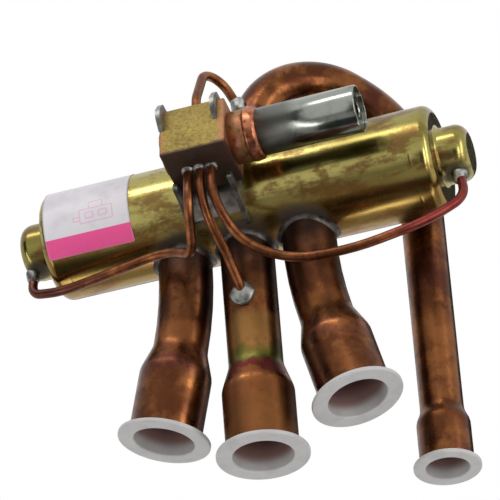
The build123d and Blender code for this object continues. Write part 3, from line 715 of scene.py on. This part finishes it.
def paintCap(name, origin, axis):
    # milky flange; the cup is thinner and lets the copper show through, and deeper in it is painted darker as
    # painted shade
    p = Paint(name, Metallic=0.0, Subsurface_Weight=0.0, IOR=1.46)
    inside = p.node("VectorMath", {"operation": "SUBTRACT"}, {0: p.place(), 1: tuple(origin)})
    depth = p.node("VectorMath", {"operation": "DOT_PRODUCT"}, {0: inside, 1: tuple(-axis)}, "Value")
    cup = p.step(depth, 0.0006, 0.004)
    haze = p.noise(5, detail=3)
    fine = p.noise(0.7, detail=4, shift=3.0)
    colour = p.blend(srgb(196, 194, 192), srgb(184, 181, 180), p.step(haze, 0.35, 0.75))
    # painted shade: the cup darkens further in, where shade falls inside the pipe
    deepShade = p.step(depth, 0.004, 0.0105)
    colour = p.blend(colour, srgb(158, 116, 108), cup * 0.85)
    colour = p.blend(colour, srgb(104, 66, 60), deepShade * 0.8)
    p.feed(Base_Color=colour, Roughness=0.34 + fine * 0.14, Alpha=0.94 - cup * 0.22)
    return p.bump(haze * 0.5 + fine * 0.2, 0.00004, 0.2).material


for key, (mount, bore, flange) in capTable.items():
    origin = np.array(mounts[mount]["pos_m"])
    axis = np.array(mounts[mount]["axis"], float)
    cap = turnedPiece(key + "Cap", capProfile(bore, flange, caps), origin, -axis, 72)
    cap.data.materials.append(paintCap(key + "CapPlastic", origin, axis))
    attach(cap, "cap_" + key)
    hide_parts("plug_" + key)
print("caps done")


label = {"left": -56.8, "right": -30.2, "low": -44.5, "high": 75.0, "lift": 0.05, "thick": 0.08,
         "band": 0.175}


def labelPiece(l):
    # sheet on the cylinder: angle low..high from the front, x left..right, with a back face
    low, high = math.radians(l["low"]), math.radians(l["high"])
    angle = np.linspace(low, high, 90)[:, None]
    x = np.linspace(l["left"], l["right"], 40)[None] * mm
    def sheet(radius):
        return np.stack(np.broadcast_arrays(x, -radius * np.cos(angle),
                                            axisHeight + radius * np.sin(angle)), -1)
    v = (angle - low) / (high - low)
    u = (x - x.min()) / (x.max() - x.min())
    uv = np.stack(np.broadcast_arrays(u, v), -1)
    return gridPiece("ratingLabel", sheet(bodyRadius + (l["lift"] + l["thick"]) * mm), False, False, uv)


def paintLabel(l):
    # bare label: a plain pink band and a thin ruled diagram, no words
    p = Paint("labelPaper", Metallic=0.0)
    u, v, w = p.axes(p.uv())
    width, height = 26.6, math.radians(l["high"] - l["low"]) * 16.0
    across, up = u * width, v * height
    fibres = p.noise(0.5, detail=4)
    clouds = p.noise(8, detail=3, shift=3.0)
    def line(value, at, half):
        away = p.node("Math", {"operation": "ABSOLUTE"}, {0: value - at})
        return 1 - p.step(away, half * 0.6, half * 1.4)
    def between(value, low, high):
        return p.step(value, low - 0.06, low + 0.06) * (1 - p.step(value, high - 0.06, high + 0.06))
    def frameBox(x0, x1, y0, y1, half=0.13):
        sides = larger(line(across, x0, half), line(across, x1, half))
        ends = larger(line(up, y0, half), line(up, y1, half))
        return larger(sides * between(up, y0, y1), ends * between(across, x0, x1))
    ink = frameBox(11.5, 21.5, 8.6, 13.0)
    for box in ((13.2, 15.6, 10.0, 11.8), (17.4, 19.8, 10.0, 11.8), (9.4, 11.5, 9.6, 10.8),
                (14.4, 18.6, 13.0, 15.2)):
        ink = larger(ink, frameBox(*box))
    band = 1 - p.step(v, l["band"] - 0.004, l["band"] + 0.004)
    colour = p.blend(srgb(222, 218, 223), srgb(208, 203, 209), p.step(clouds, 0.4, 0.7))
    colour = p.blend(colour, srgb(228, 128, 170), ink * 0.6)
    colour = p.blend(colour, srgb(236, 62, 142), band * (0.9 + fibres * 0.1))
    edge = p.node("Math", {"operation": "MINIMUM"}, {
        0: p.node("Math", {"operation": "MINIMUM"}, {0: across, 1: width - across}), 1: up})
    colour = p.blend(colour, srgb(172, 160, 140), (1 - p.step(edge, 0.0, 0.5)) * 0.5)
    p.feed(Base_Color=colour, Roughness=0.38 + fibres * 0.15)
    return p.bump(fibres, 0.00004, 0.3).material


ratingLabel = labelPiece(label)
solid = ratingLabel.modifiers.new("thickness", "SOLIDIFY")
solid.thickness, solid.offset = label["thick"] * mm, -1.0
ratingLabel.data.materials.append(paintLabel(label))
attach(ratingLabel, "valve")
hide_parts("rating_label")
print("label done")


def paintSteel():
    p = Paint("bracketSteel", Metallic=1.0)
    grain = p.noise(0.7, detail=5, roughness=0.65)
    clouds = p.noise(4, detail=4, shift=2.0)
    colour = p.blend(srgb(150, 148, 142), srgb(104, 100, 96), p.step(clouds, 0.42, 0.66))
    colour = p.blend(colour, srgb(96, 78, 70), p.step(grain, 0.58, 0.72) * 0.5)
    p.feed(Base_Color=colour, Roughness=0.34 + grain * 0.2)
    return p.bump(grain, 0.00012, 0.5).material


def paintFillet():
    p = Paint("brazeFillet", Metallic=0.9)
    grain = p.noise(1.0, detail=5, roughness=0.7)
    clouds = p.noise(3.2, detail=3, shift=4.0)
    colour = p.blend(srgb(96, 92, 90), srgb(66, 54, 46), p.step(clouds, 0.4, 0.62))
    p.feed(Base_Color=colour, Roughness=0.38 + grain * 0.2)
    return p.bump(grain, 0.0002, 0.5).material


def paintSlide():
    p = Paint("slidePlastic", Metallic=0.0)
    grain = p.noise(0.8, detail=4)
    colour = p.blend(srgb(222, 216, 196), srgb(196, 188, 164), p.step(grain, 0.4, 0.7))
    p.feed(Base_Color=colour, Roughness=0.4 + grain * 0.15)
    return p.bump(grain, 0.00005, 0.3).material


steelPaint, filletPaint, slidePaint = paintSteel(), paintFillet(), paintSlide()
carried = {
    steelPaint: ["bracket", "piston_link", "piston_left", "piston_right", "seal_retainer_left",
                 "seal_retainer_right", "piston_screw_left", "piston_screw_right", "pilot_carrier",
                 "plunger", "pilot_spring"],
    filletPaint: ["braze_suction", "braze_evaporator", "braze_condenser", "braze_discharge"],
    slidePaint: ["slide_block", "pilot_slide", "piston_seal_left", "piston_seal_right"],
    bpy.data.materials["brassMilled"]: ["valve_seat", "pilot_seat", "pilot_end_plug"],
}
for material, names in carried.items():
    for name in names:
        node = frame["nodes"][name]
        node.data.materials.clear()
        node.data.materials.append(material)
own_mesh(frame["nodes"]["pilot_spring"])


stage = {"floor": -1.35, "size": 5.0, "aim": (-3.9, 16.7, 78.3), "distance": 1474.9, "lens": 360.0,
         "azimuth": 16.08, "elevation": -31.72, "roll": 4.59}


def panel(name, centre, normal, width, height, colour):
    centre, normal = np.array(centre, float), unit(np.array(normal, float))
    side = unit(np.cross(normal, (0.0, 0.05, 1.0)))
    up = np.cross(side, normal)
    corners = [centre + side * sx * width / 2 + up * sy * height / 2
               for sx, sy in ((-1, -1), (1, -1), (1, 1), (-1, 1))]
    mesh = bpy.data.meshes.new(name)
    mesh.from_pydata([tuple(c) for c in corners], [], [(0, 1, 2, 3)])
    piece = bpy.data.objects.new(name, mesh)
    bpy.context.scene.collection.objects.link(piece)
    p = Paint(name, Roughness=1.0, Metallic=0.0)
    p.surface.inputs["Base Color"].default_value = (*colour, 1)
    p.surface.inputs["Specular IOR Level"].default_value = 0.0
    piece.data.materials.append(p.material)
    return piece


panel("floor", (0, 0, stage["floor"]), (0, 0, 1), stage["size"], stage["size"], (0.82,) * 3)
flags = {  # dark cards that only reflections see
    "flagCamera": ((0.45, -2.1, -1.0), (-0.236, 0.817, 0.526), 1.9, 1.5, 0.02),
    "flagLow": ((0.2, -0.2, -1.2), (0, 0.1, 1), 2.2, 0.9, 0.05),
    "flagLeft": ((-1.5, -0.9, 0.1), (1, 0.5, 0), 0.9, 2.0, 0.04),
    "flagBack": ((0.2, 1.6, 0.9), (0, -1, -0.3), 2.4, 0.7, 0.06),
}
for name, (centre, normal, width, height, grey) in flags.items():
    flag = panel(name, centre, normal, width, height, (grey,) * 3)
    flag.visible_camera = flag.visible_diffuse = flag.visible_shadow = False
    flag.visible_transmission = False


def softLamp(name, place, size, power, colour=(1, 1, 1)):
    lamp = bpy.data.lights.new(name, "AREA")
    lamp.shape, lamp.size, lamp.size_y = "RECTANGLE", size[0], size[1]
    lamp.energy, lamp.color = power, colour
    thing = bpy.data.objects.new(name, lamp)
    away = np.array(place) - np.array(stage["aim"]) * mm
    thing.location = place
    thing.rotation_mode = "QUATERNION"
    thing.rotation_quaternion = Vector(away).to_track_quat("Z", "Y")
    bpy.context.scene.collection.objects.link(thing)


lamps = {"key": ((-0.15, -0.75, 0.95), (1.0, 0.22), 4.6), "fill": ((0.9, -0.9, -0.35), (0.2, 0.9), 4.0),
         "side": ((-0.9, -0.55, -0.5), (0.14, 0.9), 2.4), "low": ((0.1, 0.35, -1.05), (1.2, 0.2), 2.2),
         "right": ((1.15, -0.35, 0.12), (0.35, 0.9), 3.6)}
for name, (place, size, power) in lamps.items():
    softLamp(name, place, size, power)

world = bpy.data.worlds.new("studio")
bpy.context.scene.world = world
world.use_nodes = True
tree = world.node_tree
background = tree.nodes["Background"]
lightPath = tree.nodes.new("ShaderNodeLightPath")
seen = tree.nodes.new("ShaderNodeMath")
seen.operation = "MAXIMUM"
tree.links.new(lightPath.outputs["Is Camera Ray"], seen.inputs[0])
glossyOrClear = tree.nodes.new("ShaderNodeMath")
glossyOrClear.operation = "MAXIMUM"
tree.links.new(lightPath.outputs["Is Glossy Ray"], glossyOrClear.inputs[0])
tree.links.new(lightPath.outputs["Is Transmission Ray"], glossyOrClear.inputs[1])
tree.links.new(glossyOrClear.outputs[0], seen.inputs[1])
level = tree.nodes.new("ShaderNodeMapRange")
level.inputs["To Min"].default_value = 0.5
level.inputs["To Max"].default_value = 1.0
tree.links.new(seen.outputs[0], level.inputs["Value"])
tree.links.new(level.outputs[0], background.inputs["Strength"])
background.inputs["Color"].default_value = (1, 1, 1, 1)


def makeCamera(s):
    # looks at aim from azimuth and elevation, then rolls
    a, e, roll = (math.radians(s[k]) for k in ("azimuth", "elevation", "roll"))
    back = np.array([math.sin(a) * math.cos(e), -math.cos(a) * math.cos(e), math.sin(e)])
    right = unit(np.cross((0.0, 0.0, 1.0), back))
    up = np.cross(back, right)
    right, up = (right * math.cos(roll) - up * math.sin(roll),
                 right * math.sin(roll) + up * math.cos(roll))
    data = bpy.data.cameras.new("view")
    data.lens, data.sensor_width = s["lens"], 36.0
    data.clip_start, data.clip_end = 0.01, 20
    camera = bpy.data.objects.new("view", data)
    place = (np.array(s["aim"]) + back * s["distance"]) * mm
    rows = np.eye(4)
    rows[:3, 0], rows[:3, 1], rows[:3, 2], rows[:3, 3] = right, up, back, place
    camera.matrix_world = Matrix([tuple(row) for row in rows])
    bpy.context.scene.collection.objects.link(camera)
    bpy.context.scene.camera = camera


makeCamera(stage)
bpy.context.scene.view_settings.view_transform = "Standard"
print("stage done")
